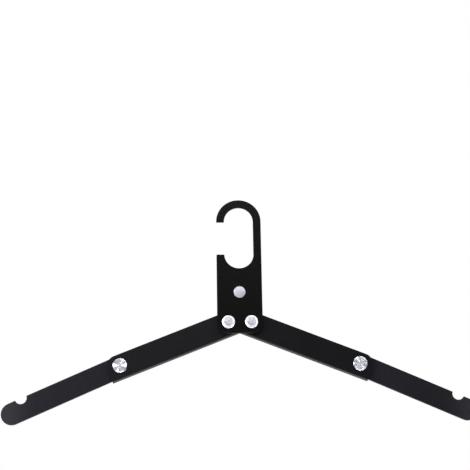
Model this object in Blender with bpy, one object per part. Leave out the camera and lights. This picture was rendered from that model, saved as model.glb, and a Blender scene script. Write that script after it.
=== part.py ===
"""Folding travel hanger.

A flat hook plate carries two bent channel arms on rivets. The channels fold up behind the plate, and a flat
outer arm at the end of each one folds back into its channel. Metres, +Z up, the front face towards -Y.
The origin is where the hook rests on a rod: the top of the slot, in the middle of the plate's thickness.
"""

import math

import bmesh
import bpy
from mathutils import Matrix

# Hook plate: its outline, the slot that takes the rod, and the mouth that lets the rod in
plate_width = 0.0403
plate_thickness = 0.0020
hook_band = 0.00705
slot_bottom_to_pivot = 0.0490
slot_height = 0.05715
mouth_height = 0.03065
mouth_below_hook_centre = 0.0006
tip_corner = 0.0005
pivot_to_foot = 0.0100
foot_corner = 0.00975
plate_edge_break = 0.00030

# Pivots of the inner arms in the plate
pivot_spacing = 0.0205
pivot_shank_diameter = 0.0050
pivot_head_diameter = 0.0116
pivot_head_height = 0.0012
pivot_face_diameter = 0.0084
pivot_tail_diameter = 0.0066
pivot_washer_diameter = 0.0098
pivot_washer_thickness = 0.0010

# Round-headed pin in the middle of the plate
pin_above_pivots = 0.0269
pin_head_diameter = 0.01045
pin_rim_height = 0.00055
pin_dome_height = 0.00085
pin_shank_diameter = 0.0050
pin_tail_diameter = 0.0068
pin_tail_depth = 0.0010

# Inner arm: sheet bent to a channel that is open along its top
sheet = 0.0012
bend_inside_radius = 0.0008
arm_reach = 0.1025
arm_above_pivot = 0.0099
arm_below_pivot = 0.0118
arm_past_screw = 0.0110
arm_end_corner = 0.0090
arm_edge_break = 0.00020
rivet_access_diameter = 0.0094

# Outer arm: flat bar with round ends and a notch for a strap
bar_thickness = 0.0020
bar_above_screw = 0.0094
bar_below_screw = 0.0099
bar_reach = 0.1012
notch_reach = 0.0893
notch_radius = 0.00515
notch_centre_above_edge = 0.0001
bar_edge_break = 0.00030

# Two-part screw that joins the arms: a post with a broad turned head, and a screw from behind
post_head_diameter = 0.0126
post_face_diameter = 0.0106
post_head_height = 0.00090
post_barrel_diameter = 0.0050
post_bore_diameter = 0.0034
screw_head_diameter = 0.0100
screw_head_height = 0.0010
screw_shank_diameter = 0.0028
screw_shank_length = 0.0042
screw_slot_width = 0.0012
screw_slot_depth = 0.0005
shim_diameter = 0.0094
shim_thickness = 0.00115

# Fits, edges and angles shared by all the pieces
seat_gap = 0.0002
running_gap = 0.0002
arm_centre_gap = 0.0003
nose_relief = 0.0001
head_edge = 0.00025
overrun = 0.0030
weld_distance = 0.0000001
arm_droop = math.radians(21.5)
bar_droop = math.radians(23.7)
outline_step = math.radians(5.0)
bend_step = math.radians(15.0)
round_steps = 34
hole_steps = 28
ring_steps = 24

# Heights measured from the rod's resting point, worked out from the sizes above
slot_width = plate_width - hook_band - hook_band
slot_radius = slot_width / 2
hook_centre_height = -slot_radius
plate_top_height = hook_band
slot_bottom_height = -slot_height
pivot_height = slot_bottom_height - slot_bottom_to_pivot
foot_height = pivot_height - pivot_to_foot
mouth_top_height = hook_centre_height - mouth_below_hook_centre
mouth_bottom_height = mouth_top_height - mouth_height
pin_height = pivot_height + pin_above_pivots
pivot_offset = pivot_spacing / 2

# Depths of the stack, from the plate's front to the head of the screw behind
plate_front = -plate_thickness / 2
plate_back = plate_thickness / 2
washer_front = plate_back + seat_gap
washer_back = washer_front + pivot_washer_thickness
channel_front = washer_back + seat_gap
front_wall_back = channel_front + sheet
front_shim_front = front_wall_back + seat_gap
front_shim_back = front_shim_front + shim_thickness
bar_front = front_shim_back + seat_gap
bar_back = bar_front + bar_thickness
back_shim_front = bar_back + seat_gap
back_shim_back = back_shim_front + shim_thickness
back_wall_front = back_shim_back + seat_gap
channel_back = back_wall_front + sheet
bend_outside_radius = bend_inside_radius + sheet


def clear_scene():
    for thing in list(bpy.data.objects):
        bpy.data.objects.remove(thing, do_unlink=True)
    for mesh in list(bpy.data.meshes):
        bpy.data.meshes.remove(mesh)


def material(name, colour, roughness, metallic):
    made = bpy.data.materials.new(name)
    made.use_nodes = True
    shader = made.node_tree.nodes["Principled BSDF"]
    shader.inputs["Base Color"].default_value = (*colour, 1.0)
    shader.inputs["Roughness"].default_value = roughness
    shader.inputs["Metallic"].default_value = metallic
    made.diffuse_color = (*colour, 1.0)
    return made


def rounded_outline(corners, arc_step=outline_step):
    """Points round a closed outline, where each corner (x, z, radius) is rounded to its own radius."""
    points = []
    count = len(corners)
    for index, (x, z, radius) in enumerate(corners):
        before = corners[index - 1]
        after = corners[(index + 1) % count]
        into = math.atan2(z - before[1], x - before[0])
        out = math.atan2(after[1] - z, after[0] - x)
        turn = (out - into + math.pi) % (2 * math.pi) - math.pi
        if radius == 0:
            points.append((x, z))
            continue
        side = math.copysign(radius, turn)
        back = radius * math.tan(abs(turn) / 2)
        start_x = x - back * math.cos(into)
        start_z = z - back * math.sin(into)
        centre_x = start_x - side * math.sin(into)
        centre_z = start_z + side * math.cos(into)
        steps = max(2, round(abs(turn) / arc_step))
        for step in range(steps + 1):
            angle = into + turn * step / steps
            points.append((centre_x + side * math.sin(angle), centre_z - side * math.cos(angle)))
    return points


def finish_mesh(name, work):
    bmesh.ops.remove_doubles(work, verts=work.verts, dist=weld_distance)
    bmesh.ops.recalc_face_normals(work, faces=work.faces)
    mesh = bpy.data.meshes.new(name)
    work.to_mesh(mesh)
    work.free()
    thing = bpy.data.objects.new(name, mesh)
    bpy.context.scene.collection.objects.link(thing)
    return thing


def slab(name, outline, front, back):
    """A flat outline in X and Z, made solid between two depths."""
    work = bmesh.new()
    ring = [work.verts.new((x, front, z)) for x, z in outline]
    face = work.faces.new(ring)
    pushed = bmesh.ops.extrude_face_region(work, geom=[face])
    moved = [item for item in pushed["geom"] if isinstance(item, bmesh.types.BMVert)]
    bmesh.ops.translate(work, verts=moved, vec=(0, back - front, 0))
    return finish_mesh(name, work)


def rail(name, section, start, end):
    """A section in Y and Z, drawn out along X."""
    work = bmesh.new()
    ring = [work.verts.new((start, y, z)) for y, z in section]
    face = work.faces.new(ring)
    pushed = bmesh.ops.extrude_face_region(work, geom=[face])
    moved = [item for item in pushed["geom"] if isinstance(item, bmesh.types.BMVert)]
    bmesh.ops.translate(work, verts=moved, vec=(end - start, 0, 0))
    return finish_mesh(name, work)


def turned(name, profile, x=0.0, z=0.0, steps=round_steps):
    """A profile of (radius, depth) points, spun once round the depth axis at X and Z."""
    work = bmesh.new()
    line = [work.verts.new((radius, depth, 0)) for radius, depth in profile]
    edges = [work.edges.new(pair) for pair in zip(line, line[1:])]
    whole_turn = 2 * math.pi
    bmesh.ops.spin(
        work, geom=line + edges, cent=(0, 0, 0), axis=(0, 1, 0), angle=whole_turn, steps=steps, use_merge=True
    )
    bmesh.ops.translate(work, verts=work.verts, vec=(x, 0, z))
    return finish_mesh(name, work)


def disc_cutter(radius, front, back, x=0.0, z=0.0, steps=hole_steps):
    return turned("cutter", [(0, front), (radius, front), (radius, back), (0, back)], x, z, steps)


def settle(thing):
    """Makes what the modifiers show the object's own mesh."""
    graph = bpy.context.evaluated_depsgraph_get()
    shown = thing.evaluated_get(graph)
    mesh = bpy.data.meshes.new_from_object(shown)
    thing.modifiers.clear()
    old = thing.data
    thing.data = mesh
    bpy.data.meshes.remove(old)


def cut(thing, cutter, operation="DIFFERENCE"):
    step = thing.modifiers.new("cut", "BOOLEAN")
    step.operation = operation
    step.solver = "EXACT"
    step.object = cutter
    settle(thing)
    bpy.data.objects.remove(cutter, do_unlink=True)


def round_corners(thing, places, radius, reach):
    """Rounds the through-thickness edges nearest to the given (x, z) places."""
    work = bmesh.new()
    work.from_mesh(thing.data)
    chosen = []
    for edge in work.edges:
        one, two = edge.verts
        along = abs(one.co.y - two.co.y)
        across = math.hypot(one.co.x - two.co.x, one.co.z - two.co.z)
        near = min(math.hypot(one.co.x - x, one.co.z - z) for x, z in places)
        if along > across and near < reach:
            chosen.append(edge)
    bmesh.ops.bevel(work, geom=chosen, offset=radius, segments=5, profile=0.5, affect="EDGES")
    work.to_mesh(thing.data)
    work.free()


def break_edges(thing, width, segments=2):
    step = thing.modifiers.new("edge break", "BEVEL")
    step.width = width
    step.segments = segments
    step.limit_method = "ANGLE"
    step.angle_limit = math.radians(40)
    step.harden_normals = False


def dress(thing, name, finish, smooth=math.radians(35)):
    thing.name = name
    thing.data.name = name
    thing.data.materials.clear()
    thing.data.materials.append(finish)
    thing.data.shade_smooth()
    thing.data.set_sharp_from_angle(angle=smooth)
    return thing


def mirrored(thing, name):
    """The left-hand twin of a right-hand piece, with a mesh of its own."""
    mesh = thing.data.copy()
    mesh.transform(Matrix.Scale(-1, 4, (1, 0, 0)))
    mesh.flip_normals()
    mesh.name = name
    twin = bpy.data.objects.new(name, mesh)
    for step in thing.modifiers:
        copy = twin.modifiers.new(step.name, step.type)
        copy.width = step.width
        copy.segments = step.segments
        copy.limit_method = step.limit_method
        copy.angle_limit = step.angle_limit
        copy.harden_normals = step.harden_normals
    bpy.context.scene.collection.objects.link(twin)
    return twin


def make_hook_plate(finish):
    half = plate_width / 2
    blank = rounded_outline(
        [
            (-half, foot_height, foot_corner),
            (half, foot_height, foot_corner),
            (half, plate_top_height, half),
            (-half, plate_top_height, half),
        ]
    )
    plate = slab("plate", blank, plate_front, plate_back)
    slot = rounded_outline(
        [
            (-slot_radius, slot_bottom_height, slot_radius),
            (slot_radius, slot_bottom_height, slot_radius),
            (slot_radius, 0, slot_radius),
            (-slot_radius, 0, slot_radius),
        ]
    )
    cut(plate, slab("slot", slot, plate_front - overrun, plate_back + overrun))
    mouth = [
        (-half - overrun, mouth_bottom_height),
        (0, mouth_bottom_height),
        (0, mouth_top_height),
        (-half - overrun, mouth_top_height),
    ]
    cut(plate, slab("mouth", mouth, plate_front - overrun, plate_back + overrun))
    for x in (-pivot_offset, pivot_offset):
        hole = pivot_shank_diameter / 2 + running_gap
        cut(plate, disc_cutter(hole, plate_front - overrun, plate_back + overrun, x, pivot_height))
    shank = pin_shank_diameter / 2 + seat_gap
    tail = pin_tail_diameter / 2 + seat_gap
    seat = [
        (0, plate_front - overrun),
        (shank, plate_front - overrun),
        (shank, plate_back - pin_tail_depth),
        (tail, plate_back),
        (tail, plate_back + overrun),
        (0, plate_back + overrun),
    ]
    cut(plate, turned("seat", seat, 0, pin_height, hole_steps))
    corners = [
        (-half, mouth_top_height),
        (-half, mouth_bottom_height),
        (-slot_radius, mouth_top_height),
        (-slot_radius, mouth_bottom_height),
    ]
    round_corners(plate, corners, tip_corner, tip_corner / 2)
    break_edges(plate, plate_edge_break)
    return dress(plate, "hook_plate", finish)


def make_centre_pin(finish):
    rim = pin_head_diameter / 2
    seat = plate_front - seat_gap
    brow = seat - pin_rim_height
    profile = [(0, brow - pin_dome_height)]
    sphere = (rim * rim + pin_dome_height * pin_dome_height) / (2 * pin_dome_height)
    sweep = math.asin(rim / sphere)
    for step in range(1, 7):
        angle = sweep * step / 6
        drop = sphere - sphere * math.cos(angle)
        profile.append((sphere * math.sin(angle), brow - pin_dome_height + drop))
    profile += [
        (rim, seat),
        (pin_shank_diameter / 2, seat),
        (pin_shank_diameter / 2, plate_back - pin_tail_depth),
        (pin_tail_diameter / 2, plate_back - seat_gap / 2),
        (0, plate_back - seat_gap / 2),
    ]
    return dress(turned("pin", profile, 0, pin_height), "centre_pin", finish)


def make_ring(name, outside, inside, front, back, finish):
    """A flat washer round the depth axis."""
    ring = disc_cutter(outside / 2, front, back, steps=ring_steps)
    cut(ring, disc_cutter(inside / 2, front - overrun, back + overrun, steps=ring_steps))
    return dress(ring, name, finish)


def make_pivot_rivet(finish):
    """Its bevelled head turns on the plate, and its flared tail is flush in the channel's front wall."""
    rim = pivot_head_diameter / 2
    face = pivot_face_diameter / 2
    seat = plate_front - seat_gap
    front = seat - pivot_head_height
    shank = pivot_shank_diameter / 2
    tail = pivot_tail_diameter / 2
    profile = [
        (0, front + head_edge),
        (face - head_edge, front + head_edge),
        (face, front),
        (face + head_edge, front),
        (rim, seat - head_edge - head_edge),
        (rim, seat),
        (shank, seat),
        (shank, channel_front + sheet / 3),
        (tail, front_wall_back - seat_gap / 2),
        (0, front_wall_back - seat_gap / 2),
    ]
    return dress(turned("rivet", profile), "right_pivot_rivet", finish)


def make_inner_arm(finish):
    """The channel, in its own frame: the pivot at the origin, the screw along +X, the open side up."""
    section = rounded_outline(
        [
            (channel_front, arm_above_pivot, 0),
            (channel_front, -arm_below_pivot, bend_outside_radius),
            (channel_back, -arm_below_pivot, bend_outside_radius),
            (channel_back, arm_above_pivot, 0),
            (back_wall_front, arm_above_pivot, 0),
            (back_wall_front, sheet - arm_below_pivot, bend_inside_radius),
            (front_wall_back, sheet - arm_below_pivot, bend_inside_radius),
            (front_wall_back, arm_above_pivot, 0),
        ],
        bend_step,
    )
    end = arm_reach + arm_past_screw
    channel = rail("channel", section, -plate_width, end + overrun)

    # The inner end is round about the pivot, so that it never crosses the middle of the plate as the arm
    # folds up. Below that it is cut square on the middle, where the two arms meet and stop each other.
    stop = pivot_offset - arm_centre_gap / 2
    nose = stop - nose_relief
    top = arm_above_pivot + overrun
    foot = -arm_below_pivot - overrun
    sweep = math.pi / 2 + arm_droop
    steps = round(sweep / outline_step)
    outline = [(0, top)]
    for step in range(steps + 1):
        angle = math.pi / 2 + sweep * step / steps
        outline.append((nose * math.cos(angle), nose * math.sin(angle)))
    stop_x = -stop * math.cos(arm_droop)
    stop_z = -stop * math.sin(arm_droop)
    outline.append((stop_x, stop_z))
    outline.append((stop_x + (stop_z - foot) * math.tan(arm_droop), foot))
    corners = [(0, foot, 0), (end, foot, 0), (end, arm_above_pivot, arm_end_corner), (0, arm_above_pivot, 0)]
    outer_end = rounded_outline(corners)
    outline += outer_end[1:-1]
    outline.append((end - arm_end_corner, top))
    cut(channel, slab("outline", outline, channel_front - overrun, channel_back + overrun), "INTERSECT")

    shank = pivot_shank_diameter / 2 + seat_gap
    tail_seat = pivot_tail_diameter / 2 + seat_gap
    rivet_seat = [
        (0, channel_front - overrun),
        (shank, channel_front - overrun),
        (shank, channel_front + sheet / 3),
        (tail_seat, front_wall_back),
        (tail_seat, front_wall_back + seat_gap),
        (0, front_wall_back + seat_gap),
    ]
    cut(channel, turned("rivet seat", rivet_seat, steps=hole_steps))
    access = rivet_access_diameter / 2
    cut(channel, disc_cutter(access, back_wall_front - seat_gap, channel_back + overrun))
    barrel = post_barrel_diameter / 2 + seat_gap
    cut(channel, disc_cutter(barrel, channel_front - overrun, channel_back + overrun, arm_reach))
    break_edges(channel, arm_edge_break, 1)
    return dress(channel, "right_inner_arm", finish)


def make_outer_arm(finish):
    """The bar, in its own frame: the screw at the origin, the tip along +X, the notch in its top edge."""
    half = (bar_above_screw + bar_below_screw) / 2
    outline = rounded_outline(
        [
            (-half, -bar_below_screw, half),
            (bar_reach + half, -bar_below_screw, half),
            (bar_reach + half, bar_above_screw, half),
            (-half, bar_above_screw, half),
        ]
    )
    bar = slab("bar", outline, bar_front, bar_back)
    notch_height = bar_above_screw + notch_centre_above_edge
    front = bar_front - overrun
    back = bar_back + overrun
    cut(bar, disc_cutter(notch_radius, front, back, notch_reach, notch_height, round_steps))
    hole = post_barrel_diameter / 2 + running_gap
    cut(bar, disc_cutter(hole, front, back))
    break_edges(bar, bar_edge_break, 1)
    return dress(bar, "right_outer_arm", finish)


def make_post(finish):
    """Front half of the screw: a broad head with a spun face, and a barrel through both walls and the bar."""
    rim = post_head_diameter / 2
    face = post_face_diameter / 2
    seat = channel_front - seat_gap
    front = seat - post_head_height
    barrel = post_barrel_diameter / 2
    bore = post_bore_diameter / 2
    bore_end = channel_back - screw_shank_length - seat_gap
    profile = [
        (0, front + head_edge / 2),
        (face - head_edge, front + head_edge / 2),
        (face, front),
        (face + head_edge, front),
        (rim, seat - head_edge),
        (rim, seat),
        (barrel, seat),
        (barrel, channel_back),
        (bore, channel_back),
        (bore, bore_end),
        (0, bore_end - bore / 2),
    ]
    return dress(turned("post", profile, arm_reach), "right_arm_post", finish)


def make_screw(finish):
    """Back half of the screw: a low slotted head, and a shank into the barrel."""
    rim = screw_head_diameter / 2
    shank = screw_shank_diameter / 2
    seat = channel_back + seat_gap
    back = seat + screw_head_height
    shank_end = channel_back - screw_shank_length
    profile = [
        (0, shank_end),
        (shank - head_edge, shank_end),
        (shank, shank_end + head_edge),
        (shank, seat),
        (rim, seat),
        (rim, back - head_edge - head_edge),
        (rim - head_edge - head_edge, back),
        (0, back),
    ]
    screw = turned("screw", profile, arm_reach)
    half = screw_slot_width / 2
    slot = [
        (arm_reach - rim - overrun, -half),
        (arm_reach + rim + overrun, -half),
        (arm_reach + rim + overrun, half),
        (arm_reach - rim - overrun, half),
    ]
    cut(screw, slab("screw slot", slot, back - screw_slot_depth, back + overrun))
    return dress(screw, "right_arm_screw", finish)


clear_scene()
plate_black = material("black anodised plate", (0.0075, 0.0075, 0.0080), 0.42, 0.0)
arm_black = material("black anodised channel", (0.0110, 0.0106, 0.0130), 0.45, 0.0)
bar_black = material("black anodised bar", (0.0180, 0.0175, 0.0210), 0.48, 0.0)
bright_steel = material("nickel-plated steel", (0.78, 0.78, 0.80), 0.22, 1.0)
nylon = material("black nylon", (0.02, 0.02, 0.02), 0.50, 0.0)

hook_plate = make_hook_plate(plate_black)
centre_pin = make_centre_pin(bright_steel)
centre_pin.parent = hook_plate

right_inner = make_inner_arm(arm_black)
right_outer = make_outer_arm(bar_black)
right_rivet = make_pivot_rivet(bright_steel)
right_post = make_post(bright_steel)
right_screw = make_screw(bright_steel)
washer_hole = pivot_shank_diameter + running_gap + running_gap
right_washer = make_ring(
    "right_pivot_washer", pivot_washer_diameter, washer_hole, washer_front, washer_back, nylon
)
shim_hole = post_barrel_diameter + running_gap + running_gap
right_front_shim = make_ring(
    "right_front_shim", shim_diameter, shim_hole, front_shim_front, front_shim_back, nylon
)
right_back_shim = make_ring(
    "right_back_shim", shim_diameter, shim_hole, back_shim_front, back_shim_back, nylon
)

left_inner = mirrored(right_inner, "left_inner_arm")
left_outer = mirrored(right_outer, "left_outer_arm")
left_rivet = mirrored(right_rivet, "left_pivot_rivet")
left_post = mirrored(right_post, "left_arm_post")
left_screw = mirrored(right_screw, "left_arm_screw")
left_washer = mirrored(right_washer, "left_pivot_washer")
left_front_shim = mirrored(right_front_shim, "left_front_shim")
left_back_shim = mirrored(right_back_shim, "left_back_shim")

# Each channel hangs from its pivot, and carries its rivet and screw. The bar hangs from the screw's axis.
hands = (
    (
        1, right_inner, right_outer, right_rivet, right_post, right_screw,
        right_washer, right_front_shim, right_back_shim,
    ),
    (
        -1, left_inner, left_outer, left_rivet, left_post, left_screw,
        left_washer, left_front_shim, left_back_shim,
    ),
)
for hand, inner, outer, rivet, post, screw, washer, front_shim, back_shim in hands:
    inner.location = (hand * pivot_offset, 0, pivot_height)
    inner.rotation_euler = (0, hand * arm_droop, 0)
    washer.location = (hand * pivot_offset, 0, pivot_height)
    washer.parent = hook_plate
    for piece in (rivet, post, screw):
        piece.parent = inner
    outer.parent = inner
    outer.location = (hand * arm_reach, 0, 0)
    outer.rotation_euler = (0, hand * (bar_droop - arm_droop), 0)
    for piece in (front_shim, back_shim):
        piece.parent = outer
bpy.context.view_layer.update()
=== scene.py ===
# %% [markdown]
# A folding travel hanger, dressed for its picture.
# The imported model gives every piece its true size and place. This lesson gives each piece its
# finish, models again the pieces whose turned and bent surfaces catch the light, and sets the
# camera, the lamps and the floor.

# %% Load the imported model
import math

import bpy
from mathutils import Matrix, Vector


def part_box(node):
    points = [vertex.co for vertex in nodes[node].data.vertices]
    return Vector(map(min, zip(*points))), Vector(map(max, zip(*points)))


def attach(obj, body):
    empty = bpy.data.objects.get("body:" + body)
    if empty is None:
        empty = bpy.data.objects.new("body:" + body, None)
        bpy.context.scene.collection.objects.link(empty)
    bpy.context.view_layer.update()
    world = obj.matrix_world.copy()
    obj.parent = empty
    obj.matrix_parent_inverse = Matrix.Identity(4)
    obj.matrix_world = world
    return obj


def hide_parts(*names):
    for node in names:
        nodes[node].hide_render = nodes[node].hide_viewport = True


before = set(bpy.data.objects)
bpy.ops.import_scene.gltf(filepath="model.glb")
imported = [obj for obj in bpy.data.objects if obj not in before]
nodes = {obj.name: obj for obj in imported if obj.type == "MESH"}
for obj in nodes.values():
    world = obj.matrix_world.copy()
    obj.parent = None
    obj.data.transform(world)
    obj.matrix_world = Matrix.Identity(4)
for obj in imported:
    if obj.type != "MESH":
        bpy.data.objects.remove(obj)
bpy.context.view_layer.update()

# %% [markdown]
# The camera stands where the photographer's did. Its place, its tilt and its lens come from
# fitting a perspective view to points measured on the photograph: the plate's sides, the rivets,
# the screws and the tips. It looks up at the hanger from about 17 degrees below, which is why the
# underside of each channel shows. It could be aimed by hand, but a fitted view puts nearly every
# edge within a pixel of the photograph's.

# %% Camera at the photograph's viewing angle
mm = 0.001
photo_width = 470
lens_in_pixels = 1157.4
sensor_width = 36.0
camera_distance = 1047.2 * mm
camera_height_angle = math.radians(-16.834)
camera_side_angle = math.radians(2.220)
camera_roll = math.radians(-0.915)
aim = Vector((-3.197 * mm, 0.0, -25.717 * mm))

away = Vector((
    -math.sin(camera_side_angle) * math.cos(camera_height_angle),
    -math.cos(camera_side_angle) * math.cos(camera_height_angle),
    math.sin(camera_height_angle),
))
level_right = Vector((0, 0, 1)).cross(away).normalized()
level_up = away.cross(level_right)
right = level_right * math.cos(camera_roll) + level_up * math.sin(camera_roll)
up = level_up * math.cos(camera_roll) - level_right * math.sin(camera_roll)

lens = bpy.data.cameras.new("studio camera")
lens.sensor_width = sensor_width
lens.lens = sensor_width * lens_in_pixels / photo_width
lens.clip_start = 0.05
lens.clip_end = 20.0
camera = bpy.data.objects.new("studio camera", lens)
bpy.context.scene.collection.objects.link(camera)
turn = Matrix((right, up, away)).transposed()
camera.matrix_world = Matrix.Translation(aim + away * camera_distance) @ turn.to_4x4()
bpy.context.scene.camera = camera
bpy.context.scene.view_settings.view_transform = "Standard"
print("lens, mm:", round(lens.lens, 2), "distance, m:", round(camera_distance, 3))

# %% [markdown]
# Colours are written as they are read off a screen, as hex values, and the shaders need them
# linear. One function does that for every material, so that no colour is converted by hand.

# %% From a hex colour to linear light
def linear(hex_colour):
    """A colour such as #1a1a1c as linear red, green, blue and an alpha of 1."""
    parts = [int(hex_colour[place:place + 2], 16) / 255 for place in (1, 3, 5)]
    made = [part / 12.92 if part <= 0.04045 else ((part + 0.055) / 1.055) ** 2.4 for part in parts]
    return (*made, 1.0)


print("mid grey #808080 is", [round(part, 3) for part in linear("#808080")[:3]])

# %% [markdown]
# A material is a handful of nodes and the links between them. Adding each node takes several
# lines by hand, so one small function adds a node, sets its properties and sockets, and links
# what feeds it. A Mix node has sockets for numbers and for colours that share the names A and B
# and differ only by their place in the list, so those places get names of their own.

# %% Add one node
number_a, number_b, mixed_number = 2, 3, 0
colour_a, colour_b, mixed_colour = 6, 7, 2


def add(tree, kind, values=(), links=(), **settings):
    """Adds a node. Values and links are pairs of a socket, by name or place, and what goes in."""
    node = tree.nodes.new(kind)
    for name, value in settings.items():
        setattr(node, name, value)
    for socket, value in values:
        node.inputs[socket].default_value = value
    for socket, source in links:
        tree.links.new(source, node.inputs[socket])
    return node


def fresh(name):
    """A new material with an empty node tree."""
    made = bpy.data.materials.new(name)
    made.use_nodes = True
    made.node_tree.nodes.clear()
    return made


print("helpers ready:", add.__name__, fresh.__name__)

# %% [markdown]
# The studio is plain: a pale floor below the hanger, white all round to the camera, and soft
# light. The floor is a wide disc. It takes the shadow near the hanger, and further out it turns
# into the white around it, so no horizon shows. From below it is clear, so that it never hides
# the hanger.

# %% The pale floor
floor_height = -0.60
floor_radius = 6.0
floor_corners = 96
fade_start = 0.35        # metres from the middle of the floor, where its paint starts to fade
fade_end = 1.6
bpy.ops.object.select_all(action="DESELECT")
bpy.ops.mesh.primitive_circle_add(
    vertices=floor_corners, radius=floor_radius, fill_type="NGON", location=(0, 0, floor_height)
)
floor = bpy.context.active_object
floor.name = "studio_floor"

floor_paint = fresh("pale studio floor")
tree = floor_paint.node_tree
place = add(tree, "ShaderNodeTexCoord")
reach = add(tree, "ShaderNodeVectorMath", operation="LENGTH", links=[(0, place.outputs["Object"])])
far_away = add(
    tree, "ShaderNodeMapRange", interpolation_type="SMOOTHSTEP",
    values=[("From Min", fade_start), ("From Max", fade_end)],
    links=[("Value", reach.outputs["Value"])],
)
rays = add(tree, "ShaderNodeLightPath")
fade = add(
    tree, "ShaderNodeMath", operation="MULTIPLY",
    links=[(0, rays.outputs["Is Camera Ray"]), (1, far_away.outputs[0])],
)
paint = add(tree, "ShaderNodeBsdfDiffuse", values=[("Color", linear("#ececec"))])
white = add(tree, "ShaderNodeEmission", values=[("Color", linear("#ffffff")), ("Strength", 1.0)])
far = add(
    tree, "ShaderNodeMixShader",
    links=[(0, fade.outputs[0]), (1, paint.outputs[0]), (2, white.outputs[0])],
)
side = add(tree, "ShaderNodeNewGeometry")
clear = add(tree, "ShaderNodeBsdfTransparent")
under = add(
    tree, "ShaderNodeMath", operation="MULTIPLY",
    links=[(0, side.outputs["Backfacing"]), (1, rays.outputs["Is Camera Ray"])],
)
shown = add(
    tree, "ShaderNodeMixShader",
    links=[(0, under.outputs[0]), (1, far.outputs[0]), (2, clear.outputs[0])],
)
add(tree, "ShaderNodeOutputMaterial", links=[("Surface", shown.outputs[0])])
floor.data.materials.append(floor_paint)
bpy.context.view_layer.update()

# %% [markdown]
# The world lights the hanger and is mirrored in its metal. Its light is stronger behind the
# hanger, where the white sweep stands, than in front, where the room is dim. Metal mirrors the
# room in front: pale towards the ceiling and darker towards the ground, which makes the domed pin
# light above and grey below. Behind the hanger it mirrors an even, dim white, so that the slotted
# screws keep their tone. Each of the two is worked out from the direction of a ray.

# %% The light of the room
light_in_front = 0.13
light_behind = 0.85
mirrored_ground = 0.08
mirrored_ceiling = 0.55
mirrored_behind = 0.35
ground_end = -0.40       # heights of a direction, from -1 straight down to 1 straight up
ceiling_start = 0.50
front_end = -0.2         # depths of a direction, from -1 straight forwards to 1 straight back
rear_start = 0.4
world = bpy.data.worlds.new("white studio")
world.use_nodes = True
tree = world.node_tree
tree.nodes.clear()
direction = add(tree, "ShaderNodeTexCoord")
axes = add(tree, "ShaderNodeSeparateXYZ", links=[("Vector", direction.outputs["Generated"])])
room_height = add(
    tree, "ShaderNodeMapRange", interpolation_type="SMOOTHSTEP",
    values=[
        ("From Min", ground_end), ("From Max", ceiling_start),
        ("To Min", mirrored_ground), ("To Max", mirrored_ceiling),
    ],
    links=[("Value", axes.outputs["Z"])],
)
behind = add(
    tree, "ShaderNodeMapRange", interpolation_type="SMOOTHSTEP",
    values=[("From Min", front_end), ("From Max", rear_start)],
    links=[("Value", axes.outputs["Y"])],
)
mirrored_room = add(
    tree, "ShaderNodeMix", data_type="FLOAT", values=[(number_b, mirrored_behind)],
    links=[(0, behind.outputs[0]), (number_a, room_height.outputs[0])],
)
room_light = add(
    tree, "ShaderNodeMix", data_type="FLOAT",
    values=[(number_a, light_in_front), (number_b, light_behind)],
    links=[(0, behind.outputs[0])],
)
print("room light in front and behind:", light_in_front, light_behind)

# %% [markdown]
# Each ray gets the world that suits its kind. One from the camera sees plain white at a strength
# of 1, as the photograph's background is. One mirrored in metal sees the room, and all the others
# take the room's light. A white wall could stand behind instead, but its shadows would show.

# %% The white background
rays = add(tree, "ShaderNodeLightPath")
soft = add(
    tree, "ShaderNodeBackground", values=[("Color", linear("#ffffff"))],
    links=[("Strength", room_light.outputs[mixed_number])],
)
mirrored = add(
    tree, "ShaderNodeBackground", values=[("Color", linear("#ffffff"))],
    links=[("Strength", mirrored_room.outputs[mixed_number])],
)
backdrop = add(
    tree, "ShaderNodeBackground", values=[("Color", linear("#ffffff")), ("Strength", 1.0)],
)
seen_in_metal = add(
    tree, "ShaderNodeMixShader",
    links=[
        (0, rays.outputs["Is Glossy Ray"]), (1, soft.outputs[0]), (2, mirrored.outputs[0]),
    ],
)
seen = add(
    tree, "ShaderNodeMixShader",
    links=[
        (0, rays.outputs["Is Camera Ray"]), (1, seen_in_metal.outputs[0]), (2, backdrop.outputs[0]),
    ],
)
add(tree, "ShaderNodeOutputWorld", links=[("Surface", seen.outputs[0])])
bpy.context.scene.world = world
print("world:", world.name)

# %% [markdown]
# Three small softboxes stand near the front of the hanger: one to the left, one to the right and
# one above its middle. A turned metal face spreads each of them into a pair of bright wedges
# across its middle, which is the pie of white and grey on the screws. The side ones also make the
# black a little paler towards the arms' tips. Large soft lamps fill in from above and from
# behind, and a low one lights the underside of each channel. One more hangs overhead, a little
# behind: it whitens the floor and gives the top edges their light.

# %% The softboxes
middle = Vector((0, 0, -0.100))    # of the hanger, in metres, like the places and sizes below


def softbox(name, place, width, height, watts):
    """A soft rectangular lamp at a place, facing the middle of the hanger."""
    data = bpy.data.lights.new(name, "AREA")
    data.shape = "RECTANGLE"
    data.size = width
    data.size_y = height
    data.energy = watts
    lamp = bpy.data.objects.new(name, data)
    bpy.context.scene.collection.objects.link(lamp)
    lamp.location = Vector(place)
    lamp.rotation_mode = "QUATERNION"
    lamp.rotation_quaternion = (lamp.location - middle).to_track_quat("Z", "Y")
    lamp.visible_camera = False
    return lamp


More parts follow.
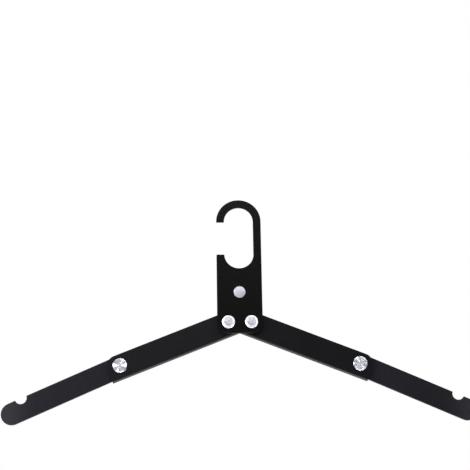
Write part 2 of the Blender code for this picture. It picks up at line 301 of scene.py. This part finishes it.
lamps = [
    softbox("left softbox", (-0.52, -0.36, -0.03), 0.26, 0.22, 2.9),
    softbox("right softbox", (0.46, -0.32, 0.18), 0.22, 0.18, 0.75),
    softbox("top softbox", (0.0, -0.44, 0.32), 0.15, 0.15, 1.5),
    softbox("upper left softbox", (-0.55, -0.35, 0.85), 0.50, 0.50, 3.6),
    softbox("upper right softbox", (0.55, -0.35, 0.85), 0.50, 0.50, 3.2),
    softbox("left rear softbox", (-0.70, 0.60, 0.30), 0.60, 0.60, 0.8),
    softbox("right rear softbox", (0.70, 0.60, 0.30), 0.60, 0.60, 0.6),
    softbox("low softbox", (0.0, 0.13, -0.55), 1.00, 0.40, 13.0),
    softbox("overhead softbox", (0.0, 0.30, 1.30), 1.20, 0.60, 12.0),
]
print("lamps:", len(lamps))

# %% [markdown]
# The flat pieces are aluminium, etched matt and then anodised black. The eye gets a deep, even
# black with a very fine grain from the etching, faint streaks along the length from the rolled
# sheet, and slow drifts of tone from the dye bath. A plain black would look flat, so each of
# these is a noise pattern of its own, with its size in millimetres. Noise keeps near its middle
# value, so a Map Range node stretches it from 0 to 1 before it blends two blacks.

# %% Patterns of rolled and etched aluminium
etch_grain = 0.45        # the real pits are about 0.05 mm; drawn coarser so that they show at all
rolling_line = 0.35      # width of a rolling streak, drawn at about three times the real one
rolling_length = 14.0
cloud_size = 22.0
etch_share = 0.55
cloud_share = 0.45


def metal_patterns(tree, place, droop):
    """The fine grain and the broad clouds of sheet whose length is turned down by an angle."""
    along = add(
        tree, "ShaderNodeMapping",
        values=[("Rotation", (0, -droop, 0)), ("Scale", (1 / mm, 1 / mm, 1 / mm))],
        links=[("Vector", place.outputs["Object"])],
    )
    streaks = add(
        tree, "ShaderNodeMapping",
        values=[("Scale", (1 / rolling_length, 1 / rolling_line, 1 / rolling_line))],
        links=[("Vector", along.outputs[0])],
    )
    rolled = add(
        tree, "ShaderNodeTexNoise", values=[("Scale", 1.0), ("Detail", 3.0), ("Roughness", 0.6)],
        links=[("Vector", streaks.outputs[0])],
    )
    etched = add(
        tree, "ShaderNodeTexNoise", values=[("Scale", 1 / etch_grain), ("Detail", 2.0)],
        links=[("Vector", along.outputs[0])],
    )
    cloud = add(
        tree, "ShaderNodeTexNoise",
        values=[("Scale", 1 / cloud_size), ("Detail", 4.0), ("Roughness", 0.55)],
        links=[("Vector", along.outputs[0])],
    )
    grain = add(
        tree, "ShaderNodeMix", data_type="FLOAT", values=[(0, etch_share)],
        links=[(number_a, rolled.outputs[0]), (number_b, etched.outputs[0])],
    )
    return grain, cloud


print("grain, streaks and clouds, mm:", etch_grain, rolling_line, cloud_size)

# %% [markdown]
# Black wears where it is touched, and a slightly paler line runs along the rubbed edges. The bars
# also grow paler towards their tips: that is a painted sheen, which stands in for the light that
# the tips catch. One value from 0 to 1 says how pale the black turns, by wear at the edges and by
# the painted sheen at the tips, and the finish blends its colours by it.

# %% Where the black is rubbed, and the painted sheen at the tips
# where the painted sheen on the bars' tips begins and ends, and how pale it gets
tip_start = 176 * mm     # distances from the middle of the hanger
tip_end = 207 * mm
tip_sheen_share = 0.55


def rubbed_and_sheen_places(tree, place, cloud):
    """Wear along broken edges, and a painted sheen towards the tips of the bars, from 0 to 1."""
    edge = add(tree, "ShaderNodeAttribute", attribute_name="broken_edge")
    rubbed = add(
        tree, "ShaderNodeMapRange", values=[("From Min", 0.40), ("From Max", 0.75)],
        links=[("Value", cloud.outputs[0])],
    )
    worn = add(
        tree, "ShaderNodeMath", operation="MULTIPLY",
        links=[(0, edge.outputs["Fac"]), (1, rubbed.outputs[0])],
    )
    sides = add(tree, "ShaderNodeSeparateXYZ", links=[("Vector", place.outputs["Object"])])
    reach = add(tree, "ShaderNodeMath", operation="ABSOLUTE", links=[(0, sides.outputs["X"])])
    # painted sheen: the bars' black grows paler towards the tips, standing in for the light they
    # catch
    painted_tip_sheen = add(
        tree, "ShaderNodeMapRange", interpolation_type="SMOOTHSTEP",
        values=[("From Min", tip_start), ("From Max", tip_end), ("To Max", tip_sheen_share)],
        links=[("Value", reach.outputs[0])],
    )
    return add(
        tree, "ShaderNodeMath", operation="MAXIMUM",
        links=[(0, worn.outputs[0]), (1, painted_tip_sheen.outputs[0])],
    )


print("the bars grow paler over the last", round((tip_end - tip_start) / mm), "mm")

# %% [markdown]
# The finish blends two blacks by the patterns, and a paler one by the wear and the painted sheen
# at the tips. The patterns also make its gloss drift and give it pits, too shallow to see one by
# one. Sheen adds the soft, dusty light that a matt surface has at a low angle.

# %% Black anodised aluminium
matt_drift = 0.05
pit_depth = 0.02 * mm


def anodised(name, body_hex, light_hex, wear_and_sheen_hex, roughness, sheen, droop):
    """Matt black anodising on rolled aluminium whose length is turned down by an angle."""
    made = fresh(name)
    tree = made.node_tree
    place = add(tree, "ShaderNodeTexCoord")
    grain, cloud = metal_patterns(tree, place, droop)
    tone = add(
        tree, "ShaderNodeMix", data_type="FLOAT", values=[(0, cloud_share)],
        links=[(number_a, grain.outputs[mixed_number]), (number_b, cloud.outputs[0])],
    )
    spread = add(
        tree, "ShaderNodeMapRange", values=[("From Min", 0.32), ("From Max", 0.68)],
        links=[("Value", tone.outputs[mixed_number])],
    )
    black = add(
        tree, "ShaderNodeMix", data_type="RGBA",
        values=[(colour_a, linear(body_hex)), (colour_b, linear(light_hex))],
        links=[(0, spread.outputs[0])],
    )
    # real wear along the edges, together with the painted sheen at the bars' tips
    wear_and_tip_sheen = rubbed_and_sheen_places(tree, place, cloud)
    colour = add(
        tree, "ShaderNodeMix", data_type="RGBA", values=[(colour_b, linear(wear_and_sheen_hex))],
        links=[(0, wear_and_tip_sheen.outputs[0]), (colour_a, black.outputs[mixed_colour])],
    )
    matt = add(
        tree, "ShaderNodeMapRange",
        values=[
            ("From Min", 0.3), ("From Max", 0.7),
            ("To Min", roughness - matt_drift), ("To Max", roughness + matt_drift),
        ],
        links=[("Value", grain.outputs[mixed_number])],
    )
    pits = add(
        tree, "ShaderNodeBump", values=[("Strength", 0.35), ("Distance", pit_depth)],
        links=[("Height", grain.outputs[mixed_number])],
    )
    skin = add(
        tree, "ShaderNodeBsdfPrincipled",
        values=[
            ("IOR", 1.5), ("Specular IOR Level", 0.07),
            ("Sheen Weight", sheen), ("Sheen Roughness", 0.36),
        ],
        links=[
            ("Base Color", colour.outputs[mixed_colour]),
            ("Roughness", matt.outputs[0]), ("Normal", pits.outputs[0]),
        ],
    )
    add(tree, "ShaderNodeOutputMaterial", links=[("Surface", skin.outputs[0])])
    return made


print("pits, mm deep:", round(pit_depth / mm, 3))

# %% [markdown]
# The plate is the deepest black and the bars are the palest. The two channels are one black: the
# left one a shade paler in painted light, the right one a shade deeper in painted shade, as the
# light falls from the left. The rolling streaks run along each piece, so its slope goes in with
# its colours.

# %% The five black pieces
upright = math.pi / 2
channel_droop = math.radians(21.5)
bar_droop = math.radians(23.7)
plate_look = dict(body_hex="#030303", light_hex="#070707", wear_and_sheen_hex="#161618")
# the channels share one black, painted lit on the left and painted in shade on the right
left_channel_lit_look = dict(body_hex="#111013", light_hex="#17161a", wear_and_sheen_hex="#28272c")
right_channel_shaded_look = dict(body_hex="#0c0b0e", light_hex="#121115", wear_and_sheen_hex="#252429")
bar_look = dict(body_hex="#18171c", light_hex="#1e1d23", wear_and_sheen_hex="#343439")
blacks = {
    "hook_plate": anodised(
        "black anodised hook plate", **plate_look, roughness=0.44, sheen=0.02, droop=upright,
    ),
    "right_inner_arm": anodised(
        "black anodised right channel", **right_channel_shaded_look,
        roughness=0.46, sheen=0.06, droop=channel_droop,
    ),
    "left_inner_arm": anodised(
        "black anodised left channel", **left_channel_lit_look,
        roughness=0.46, sheen=0.06, droop=-channel_droop,
    ),
    "right_outer_arm": anodised(
        "black anodised right bar", **bar_look, roughness=0.46, sheen=0.05, droop=bar_droop,
    ),
    "left_outer_arm": anodised(
        "black anodised left bar", **bar_look, roughness=0.46, sheen=0.05, droop=-bar_droop,
    ),
}
print("anodised finishes:", len(blacks))

# %% [markdown]
# The rivets, the pin and the two-part screws are steel, turned on a lathe and nickel-plated. The
# tool leaves grooves in circles, and plating over them gives fine rings and specks of tone. Real
# grooves are too fine to draw one by one, so a coarser wave stands for them, worked out from the
# distance to the axis, which each turned piece keeps in a UV map in millimetres.

# %% Turning marks
groove_pitch = 0.22      # the real marks are about 0.08 mm apart; drawn wider so that they show
rings_per_mm = 3.2
specks_per_mm = 2.6
speck_share = 0.4


def turning_marks(tree, flat, radius):
    """The wave of the tool's grooves, and the rings and specks of the plating over them."""
    phase = add(
        tree, "ShaderNodeMath", operation="MULTIPLY", values=[(1, 2 * math.pi / groove_pitch)],
        links=[(0, radius.outputs["Value"])],
    )
    groove = add(tree, "ShaderNodeMath", operation="SINE", links=[(0, phase.outputs[0])])
    rings = add(
        tree, "ShaderNodeTexNoise", noise_dimensions="1D",
        values=[("Scale", rings_per_mm), ("Detail", 4.0)], links=[("W", radius.outputs["Value"])],
    )
    specks = add(
        tree, "ShaderNodeTexNoise", values=[("Scale", specks_per_mm), ("Detail", 3.0)],
        links=[("Vector", flat.outputs[0])],
    )
    mottle = add(
        tree, "ShaderNodeMix", data_type="FLOAT", values=[(0, speck_share)],
        links=[(number_a, rings.outputs[0]), (number_b, specks.outputs[0])],
    )
    spread = add(
        tree, "ShaderNodeMapRange", values=[("From Min", 0.35), ("From Max", 0.65)],
        links=[("Value", mottle.outputs[mixed_number])],
    )
    return groove, spread


print("grooves, mm apart:", groove_pitch)

# %% [markdown]
# The face inside a rivet's ring is pressed and not cut, so rings hardly show on it. Its plating
# has two tones instead, in patches of a millimetre or two, which a coarse noise gives.

# %% A pressed face
patches_per_mm = 0.55


def pressed_face(tree, flat, dark_hex, light_hex):
    """The colour of a face that is pressed and not cut, in patches of two tones."""
    patches = add(
        tree, "ShaderNodeTexNoise", values=[("Scale", patches_per_mm), ("Detail", 2.0)],
        links=[("Vector", flat.outputs[0])],
    )
    patchy = add(
        tree, "ShaderNodeMapRange", values=[("From Min", 0.36), ("From Max", 0.64)],
        links=[("Value", patches.outputs[0])],
    )
    return add(
        tree, "ShaderNodeMix", data_type="RGBA",
        values=[(colour_a, linear(dark_hex)), (colour_b, linear(light_hex))],
        links=[(0, patchy.outputs[0])],
    )


print("patches, mm:", round(1 / patches_per_mm, 1))

# %% [markdown]
# Grooves in circles spread the light outwards from the middle, so each lamp becomes a pair of
# wedges. The shader's anisotropy does that, since bumps this fine would only turn into noise.
# Inside a radius the pressed face takes over, where the light spreads almost evenly.

# %% Turned steel, nickel-plated
face_blend = 0.3         # mm, over which the pressed face turns into the ring round it
face_anisotropy = 0.1
shine_drift = 0.02
groove_depth = 0.004 * mm


def turned_steel(
    name, colour_hex, dull_hex, roughness, anisotropy, spread_turn, groove_strength,
    face_radius=0.0, face_light=None, face_dark=None,
):
    """Nickel on a turned face. Inside a radius, in mm, it is pressed and has its own colours."""
    made = fresh(name)
    tree = made.node_tree
    flat = add(tree, "ShaderNodeUVMap", uv_map="lathe")
    radius = add(tree, "ShaderNodeVectorMath", operation="LENGTH", links=[(0, flat.outputs[0])])
    groove, spread = turning_marks(tree, flat, radius)
    colour = add(
        tree, "ShaderNodeMix", data_type="RGBA",
        values=[(colour_a, linear(dull_hex)), (colour_b, linear(colour_hex))],
        links=[(0, spread.outputs[0])],
    )
    face = pressed_face(tree, flat, face_dark or dull_hex, face_light or colour_hex)
    outside = add(
        tree, "ShaderNodeMapRange",
        values=[("From Min", face_radius), ("From Max", face_radius + face_blend)],
        links=[("Value", radius.outputs["Value"])],
    )
    whole = add(
        tree, "ShaderNodeMix", data_type="RGBA",
        links=[
            (0, outside.outputs[0]),
            (colour_a, face.outputs[mixed_colour]), (colour_b, colour.outputs[mixed_colour]),
        ],
    )
    shine = add(
        tree, "ShaderNodeMapRange",
        values=[("To Min", roughness + shine_drift), ("To Max", roughness - shine_drift)],
        links=[("Value", spread.outputs[0])],
    )
    cut_marks = add(
        tree, "ShaderNodeBump", values=[("Strength", groove_strength), ("Distance", groove_depth)],
        links=[("Height", groove.outputs[0])],
    )
    stroke = add(
        tree, "ShaderNodeMapRange", values=[("To Min", face_anisotropy), ("To Max", anisotropy)],
        links=[("Value", outside.outputs[0])],
    )
    round_axis = add(tree, "ShaderNodeTangent", direction_type="RADIAL", axis="Y")
    skin = add(
        tree, "ShaderNodeBsdfPrincipled",
        values=[("Metallic", 1.0), ("Anisotropic Rotation", spread_turn)],
        links=[
            ("Base Color", whole.outputs[mixed_colour]), ("Roughness", shine.outputs[0]),
            ("Anisotropic", stroke.outputs[0]), ("Normal", cut_marks.outputs[0]),
            ("Tangent", round_axis.outputs[0]),
        ],
    )
    add(tree, "ShaderNodeOutputMaterial", links=[("Surface", skin.outputs[0])])
    return made


print("grooves, mm deep:", round(groove_depth / mm, 4))

# %% [markdown]
# Four finishes serve seven pieces. The broad heads of the posts are finely cut and show sharp
# wedges. The slotted screws at the back are faced with a blunt tool, so they are darker and spread
# the light less. A rivet is closed by a rolling tool, whose strokes run outwards, so its light
# spreads round the ring instead. The pin is tumbled to an even satin.

# %% Four finishes of steel
outwards = 0.25          # a quarter turn from the direction round the axis
round_about = 0.0
spun_steel = turned_steel(
    "nickel-plated turned steel", "#e2e3eb", "#d2d3dc",
    roughness=0.40, anisotropy=0.96, spread_turn=outwards, groove_strength=0.15,
)
rolled_steel = turned_steel(
    "nickel-plated rolled steel", "#f4f5fa", "#eaebf2",
    roughness=0.49, anisotropy=0.96, spread_turn=round_about, groove_strength=0.15,
    face_radius=3.9, face_light="#d8d9e0", face_dark="#a9a9b2",
)
faced_steel = turned_steel(
    "nickel-plated faced steel", "#b4b5bb", "#9c9da4",
    roughness=0.36, anisotropy=0.50, spread_turn=outwards, groove_strength=0.15,
)
satin_steel = turned_steel(
    "nickel-plated tumbled steel", "#bcbcc4", "#abaab2",
    roughness=0.66, anisotropy=0.05, spread_turn=round_about, groove_strength=0.1,
)
steels = [spun_steel, rolled_steel, faced_steel, satin_steel]
print("steel finishes:", ", ".join(made.name for made in steels))

# %% [markdown]
# The washers between the moving pieces are black nylon, stamped from sheet. Nylon has a soft,
# slightly waxy gloss and a faint mottle, which one noise gives to its colour, gloss and height.

# %% Black nylon
mottle_size = 0.7 * mm
mottle_depth = 0.01 * mm
nylon = fresh("black nylon")
tree = nylon.node_tree
place = add(tree, "ShaderNodeTexCoord")
mottle = add(
    tree, "ShaderNodeTexNoise", values=[("Scale", 1 / mottle_size), ("Detail", 3.0)],
    links=[("Vector", place.outputs["Object"])],
)
colour = add(
    tree, "ShaderNodeMix", data_type="RGBA",
    values=[(colour_a, linear("#141414")), (colour_b, linear("#222223"))],
    links=[(0, mottle.outputs[0])],
)
gloss = add(
    tree, "ShaderNodeMapRange", values=[("To Min", 0.42), ("To Max", 0.58)],
    links=[("Value", mottle.outputs[0])],
)
skin_bump = add(
    tree, "ShaderNodeBump", values=[("Strength", 0.25), ("Distance", mottle_depth)],
    links=[("Height", mottle.outputs[0])],
)
skin = add(
    tree, "ShaderNodeBsdfPrincipled", values=[("IOR", 1.53)],
    links=[
        ("Base Color", colour.outputs[mixed_colour]),
        ("Roughness", gloss.outputs[0]), ("Normal", skin_bump.outputs[0]),
    ],
)
add(tree, "ShaderNodeOutputMaterial", links=[("Surface", skin.outputs[0])])
print("washers:", nylon.name)

# %% [markdown]
# A finished piece takes the place of a packed one. It gets its material, and rides on the same
# body, so that it folds with the arms, and the imported piece is hidden. Every piece below goes
# through the same short function for this.

# %% Hand a finished piece over
def only(piece):
    """Makes one piece the only selected one, and the active one."""
    bpy.ops.object.select_all(action="DESELECT")
    piece.select_set(True)
    bpy.context.view_layer.objects.active = piece


def apply_modifiers(piece):
    """Applies every modifier of a piece, from the first to the last."""
    only(piece)
    for modifier in list(piece.modifiers):
        bpy.ops.object.modifier_apply(modifier=modifier.name)


def hand_over(piece, finish, body, slot, *stands_for):
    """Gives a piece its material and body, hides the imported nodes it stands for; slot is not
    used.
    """
    piece.data.materials.clear()
    piece.data.materials.append(finish)
    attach(piece, body)
    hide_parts(*stands_for)
    print(piece.name, "faces:", len(piece.data.polygons))


print("helpers ready:", only.__name__, apply_modifiers.__name__, hand_over.__name__)

# %% [markdown]
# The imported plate, channels and bars have the right shape, but their meshes are loose triangles,
# which show flat facets round every curve. A copy of each is merged into one skin, its flat faces
# are joined, and its normals are smoothed, so that bends and round ends shade as the real ones
# do. The narrow, tilted faces along its edges are marked, because the black is rubbed there.

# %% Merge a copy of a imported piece
smooth_limit = math.radians(40)
flat_limit = math.radians(0.3)
merge_distance = 0.002 * mm
edge_break = 0.45 * mm
least_tilt = 0.15        # how far a broken edge faces the front or the back, from 0 to 1
most_tilt = 0.98


def merged_copy(node, name):
    """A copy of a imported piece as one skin, with flat faces joined and curves shaded smoothly."""
    piece = bpy.data.objects.new(name, nodes[node].data.copy())
    piece.data.name = name
    bpy.context.scene.collection.objects.link(piece)
    only(piece)
    bpy.ops.mesh.customdata_custom_splitnormals_clear()
    bpy.ops.object.mode_set(mode="EDIT")
    bpy.ops.mesh.select_all(action="SELECT")
    bpy.ops.mesh.remove_doubles(threshold=merge_distance)
    bpy.ops.mesh.dissolve_limited(angle_limit=flat_limit)
    bpy.ops.object.mode_set(mode="OBJECT")
    bpy.ops.object.shade_smooth_by_angle(angle=smooth_limit)
    even = piece.modifiers.new("even shading", "WEIGHTED_NORMAL")
    even.keep_sharp = True
    apply_modifiers(piece)
    return piece


def mark_broken_edges(piece):
    """Stores 1 on the narrow faces along the edges, where the black is rubbed, and 0 elsewhere."""
    marks = piece.data.attributes.new("broken_edge", "FLOAT", "FACE")
    corners = piece.data.vertices
    narrow = 0
    for face in piece.data.polygons:
        longest = max((corners[one].co - corners[two].co).length for one, two in face.edge_keys)
        slim = face.area / longest < edge_break
        tilted = least_tilt < abs(face.normal.y) < most_tilt
        if slim and tilted:
            marks.data[face.index].value = 1.0
            narrow += 1
    return narrow


print("edges narrower than", edge_break / mm, "mm count as broken")

# %% [markdown]
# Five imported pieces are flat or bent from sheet: the plate, the two channels and the two bars.
# The finish of each is kept under its packed name, so one loop dresses all five.

# %% The plate, the channels and the bars
flat_pieces = [
    ("hook_plate", "hook", "plate_black"),
    ("left_inner_arm", "left_channel", "arm_black"),
    ("right_inner_arm", "right_channel", "arm_black"),
    ("left_outer_arm", "left_bar", "bar_black"),
    ("right_outer_arm", "right_bar", "bar_black"),
]
for node, body, slot in flat_pieces:
    piece = merged_copy(node, node + "_skin")
    narrow = mark_broken_edges(piece)
    hand_over(piece, blacks[node], body, slot, node)
    print("narrow edge faces:", narrow)

# %% [markdown]
# A turned piece is a profile spun once round an axis, as on a lathe. The profile starts as one
# point, which is drawn out from corner to corner, and then spun in small steps, so that its rim
# is truly round. A cylinder with bevels could be close, but a profile gives every groove and
# bevel its own width.

# %% Turn a profile
turning_steps = 96
seed_size = 1 * mm       # of the small square that is merged into the profile's first point
weld_distance = 0.001 * mm


def turned(name, profile, x, z):
    """A piece turned about the depth axis at x and z, from a profile of (radius, depth) points."""
    bpy.ops.object.select_all(action="DESELECT")
    bpy.ops.mesh.primitive_plane_add(size=seed_size)
    piece = bpy.context.active_object
    piece.name = name
    piece.data.name = name
    bpy.ops.object.mode_set(mode="EDIT")
    bpy.ops.mesh.select_all(action="SELECT")
    bpy.ops.mesh.merge(type="CENTER")
    radius, depth = profile[0]
    bpy.ops.transform.translate(value=(x + radius, depth, z))
    for next_radius, next_depth in profile[1:]:
        step = (next_radius - radius, next_depth - depth, 0)
        bpy.ops.mesh.extrude_region_move(TRANSFORM_OT_translate={"value": step})
        radius, depth = next_radius, next_depth
    bpy.ops.mesh.select_all(action="SELECT")
    bpy.ops.mesh.spin(steps=turning_steps, angle=2 * math.pi, center=(x, 0, z), axis=(0, 1, 0))
    bpy.ops.mesh.select_all(action="SELECT")
    bpy.ops.mesh.remove_doubles(threshold=weld_distance)
    bpy.ops.mesh.normals_make_consistent(inside=False)
    bpy.ops.object.mode_set(mode="OBJECT")
    return piece


print("steps round a turned piece:", turning_steps)

# %% [markdown]
# Every turned piece then gets the same last touches. Its sharp corners are rounded a little, as
# on any real piece, because a corner without width catches no light. Its distances from the axis
# are stored in the UV map that the steel's turning marks are drawn from.

# %% Finish a turned piece
corner_limit = math.radians(18)
shading_limit = math.radians(50)


def finish_turned(piece, x, z, rounding, segments=2):
    """Rounds the corners, smooths the shading, and stores the place round the axis as a UV map."""
    soften = piece.modifiers.new("rounded corners", "BEVEL")
    soften.width = rounding
    soften.segments = segments
    soften.limit_method = "ANGLE"
    soften.angle_limit = corner_limit
    apply_modifiers(piece)
    bpy.ops.object.shade_smooth_by_angle(angle=shading_limit)
    even = piece.modifiers.new("even shading", "WEIGHTED_NORMAL")
    even.keep_sharp = True
    apply_modifiers(piece)
    while piece.data.uv_layers:
        piece.data.uv_layers.remove(piece.data.uv_layers[0])
    lathe_map = piece.data.uv_layers.new(name="lathe")
    for loop in piece.data.loops:
        point = piece.data.vertices[loop.vertex_index].co
        lathe_map.data[loop.index].uv = ((point.x - x) / mm, (point.z - z) / mm)
    return piece


print("corners sharper than", round(math.degrees(corner_limit)), "degrees are rounded")

# %% [markdown]
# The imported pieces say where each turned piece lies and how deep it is. So a profile is written
# in two lists, in millimetres: the corners near its front are measured back from there, and those
# near its back are measured forwards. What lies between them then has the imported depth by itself.

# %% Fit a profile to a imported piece
def lathe_place(node):
    """Where a packed turned piece lies: its axis at x and z, and its front and back depths."""
    low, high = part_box(node)
    return (low.x + high.x) / 2, (low.z + high.z) / 2, low.y, high.y


def fitted(front, back, from_front, from_back):
    """A profile in metres, from (radius, mm behind the front) and (radius, mm before the back)."""
    near = [(radius * mm, front + depth * mm) for radius, depth in from_front]
    far = [(radius * mm, back - height * mm) for radius, height in from_back]
    return near + far


def dome(rim, height, steps):
    """Points of (radius, depth) of a shallow dome, from its top to its rim, evenly along an arc."""
    arc = (rim ** 2 + height ** 2) / (2 * height)
    angles = [math.asin(rim / arc) * step / steps for step in range(steps + 1)]
    return [(arc * math.sin(angle), arc - arc * math.cos(angle)) for angle in angles]


print("back of the left rivet, mm:", round(lathe_place("left_pivot_rivet")[3] / mm, 2))

# %% [markdown]
# The two rivets hold the channels to the plate. On the real hanger each head has a bright
# bevelled ring round a duller, slightly crowned face, and the tail is spread flush inside the
# channel's wall.

# %% Pivot rivets
shank_radius = 2.50      # of the rivets, the posts and the pin
rivet_rim = 5.80
rivet_head_depth = 1.20
crown_top = 0.04         # how far the crown's top lies behind the ring's
crown_rim = 4.00
crown_height = 0.24
crown_steps = 6
rivet_rounding = 0.06 * mm
crown_arc = dome(crown_rim, crown_height, crown_steps)
crown = [(radius, crown_top + depth) for radius, depth in crown_arc]
bright_ring = [(4.25, 0.02), (4.45, 0), (5.55, 0.54), (rivet_rim, 0.78)]
rivet_head = crown + bright_ring + [(rivet_rim, rivet_head_depth), (shank_radius, rivet_head_depth)]
rivet_tail = [(shank_radius, 0.70), (3.30, 0), (0, 0)]
for side_name in ("left", "right"):
    node = side_name + "_pivot_rivet"
    x, z, front, back = lathe_place(node)
    profile = fitted(front, back, rivet_head, rivet_tail)
    rivet = turned(side_name + "_rivet_turned", profile, x, z)
    finish_turned(rivet, x, z, rivet_rounding)
    hand_over(rivet, rolled_steel, side_name + "_channel", "bright_metal", node)

# %% [markdown]
# The two-part screws join the channels and the bars. The front half has the broad head of the
# photograph, a flat face with turning marks inside a narrow bright bevel, and a barrel with a
# bore that takes the screw.

# %% Screw posts
post_rim = 6.30
post_head_depth = 0.90
post_face_rim = 5.00
post_face_depth = 0.12   # how far the face lies behind the bevel's top
bore_radius = 1.70
bore_depth = 4.40
bore_point = 5.25        # depth of the cone that the drill leaves at the bore's end
post_rounding = 0.05 * mm
post_face = [(0, post_face_depth), (post_face_rim, post_face_depth)]
post_bevel = [(5.25, 0), (5.60, 0.02), (6.10, 0.32), (post_rim, 0.56)]
post_head = post_face + post_bevel + [(post_rim, post_head_depth), (shank_radius, post_head_depth)]
post_barrel = [(shank_radius, 0), (bore_radius, 0), (bore_radius, bore_depth), (0, bore_point)]
for side_name in ("left", "right"):
    node = side_name + "_arm_post"
    x, z, front, back = lathe_place(node)
    profile = fitted(front, back, post_head, post_barrel)
    post = turned(side_name + "_post_turned", profile, x, z)
    finish_turned(post, x, z, post_rounding)
    hand_over(post, spun_steel, side_name + "_channel", "bright_metal", node)

# %% [markdown]
# The back half is a low screw with a slot for a coin or a driver. The slot is milled across the
# turned head: a thin block as wide as the slot is cut out of it, in line with the channel.

# %% Mill the slot
slot_width = 1.2 * mm
slot_depth = 0.5 * mm
slot_length = 14.0 * mm


def mill_slot(screw, x, z, back, slope):
    """Cuts a slot across the back of a turned head, along a line that slopes by an angle."""
    bpy.ops.object.select_all(action="DESELECT")
    bpy.ops.mesh.primitive_cube_add(size=1.0)
    cutter = bpy.context.active_object
    bpy.ops.object.mode_set(mode="EDIT")
    bpy.ops.mesh.select_all(action="SELECT")
    bpy.ops.transform.resize(value=(slot_length, 2 * slot_depth, slot_width))
    bpy.ops.transform.translate(value=(x, back, z))
    bpy.ops.object.mode_set(mode="OBJECT")
    slant = Matrix.Rotation(slope, 4, "Y")
    centre = Matrix.Translation((x, 0, z))
    cutter.data.transform(centre @ slant @ centre.inverted())
    milled = screw.modifiers.new("slot", "BOOLEAN")
    milled.operation = "DIFFERENCE"
    milled.solver = "EXACT"
    milled.object = cutter
    apply_modifiers(screw)
    bpy.data.objects.remove(cutter, do_unlink=True)


print("slot width and depth, mm:", slot_width / mm, slot_depth / mm)

# %% [markdown]
# The screw is turned before it is milled, in the order of the real work. Its shank ends inside
# the bore of the post, and the edge of its low head is rounded off, so that it catches no cloth.

# %% Slotted screws
screw_radius = 1.40
screw_head_rim = 5.00
screw_head_depth = 1.00
screw_rounding = 0.05 * mm
screw_shank = [(0, 0), (1.15, 0), (screw_radius, 0.25)]
screw_edge = [(screw_head_rim, 0.50), (4.85, 0.25), (4.45, 0.06), (3.60, 0), (0, 0)]
screw_head = [(screw_radius, screw_head_depth), (screw_head_rim, screw_head_depth)] + screw_edge
for side_name, hand in (("left", -1), ("right", 1)):
    node = side_name + "_arm_screw"
    x, z, front, back = lathe_place(node)
    profile = fitted(front, back, screw_shank, screw_head)
    screw = turned(side_name + "_screw_turned", profile, x, z)
    mill_slot(screw, x, z, back, hand * channel_droop)
    finish_turned(screw, x, z, screw_rounding)
    hand_over(screw, faced_steel, side_name + "_channel", "bright_metal", node)

# %% [markdown]
# The pin in the middle of the plate has a low dome. It is tumbled rather than faced, so it is an
# even satin, light on its upper half and grey below. The dome is a shallow arc, drawn in small
# steps to its rim.

# %% Centre pin
dome_height = 0.85
dome_steps = 12
pin_head_depth = 1.40
pin_rounding = 0.12 * mm
pin_segments = 3
x, z, front, back = lathe_place("centre_pin")
low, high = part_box("centre_pin")
pin_rim = (high.x - low.x) / 2 / mm
pin_head = dome(pin_rim, dome_height, dome_steps)
pin_head += [(pin_rim, pin_head_depth), (shank_radius, pin_head_depth)]
pin_tail = [(shank_radius, 0.90), (3.40, 0), (0, 0)]
pin = turned("centre_pin_turned", fitted(front, back, pin_head, pin_tail), x, z)
finish_turned(pin, x, z, pin_rounding, pin_segments)
hand_over(pin, satin_steel, "hook", "bright_metal", "centre_pin")

# %% [markdown]
# The washers and shims are flat nylon rings that keep the moving pieces apart. Only their rims
# show, in the gaps between plate, channel and bar. One profile, with its corners taken off,
# serves all six.

# %% Washers and shims
ring_bore = 2.70 * mm
washer_rim = 4.90 * mm
shim_rim = 4.70 * mm
ring_rounding = 0.06 * mm
rings = [
    ("left_pivot_washer", "hook", washer_rim),
    ("right_pivot_washer", "hook", washer_rim),
    ("left_front_shim", "left_bar", shim_rim),
    ("left_back_shim", "left_bar", shim_rim),
    ("right_front_shim", "right_bar", shim_rim),
    ("right_back_shim", "right_bar", shim_rim),
]
for node, body, rim in rings:
    x, z, front, back = lathe_place(node)
    profile = [(ring_bore, front), (rim, front), (rim, back), (ring_bore, back), (ring_bore, front)]
    ring = turned(node + "_ring", profile, x, z)
    finish_turned(ring, x, z, ring_rounding)
    hand_over(ring, nylon, body, "washer_black", node)
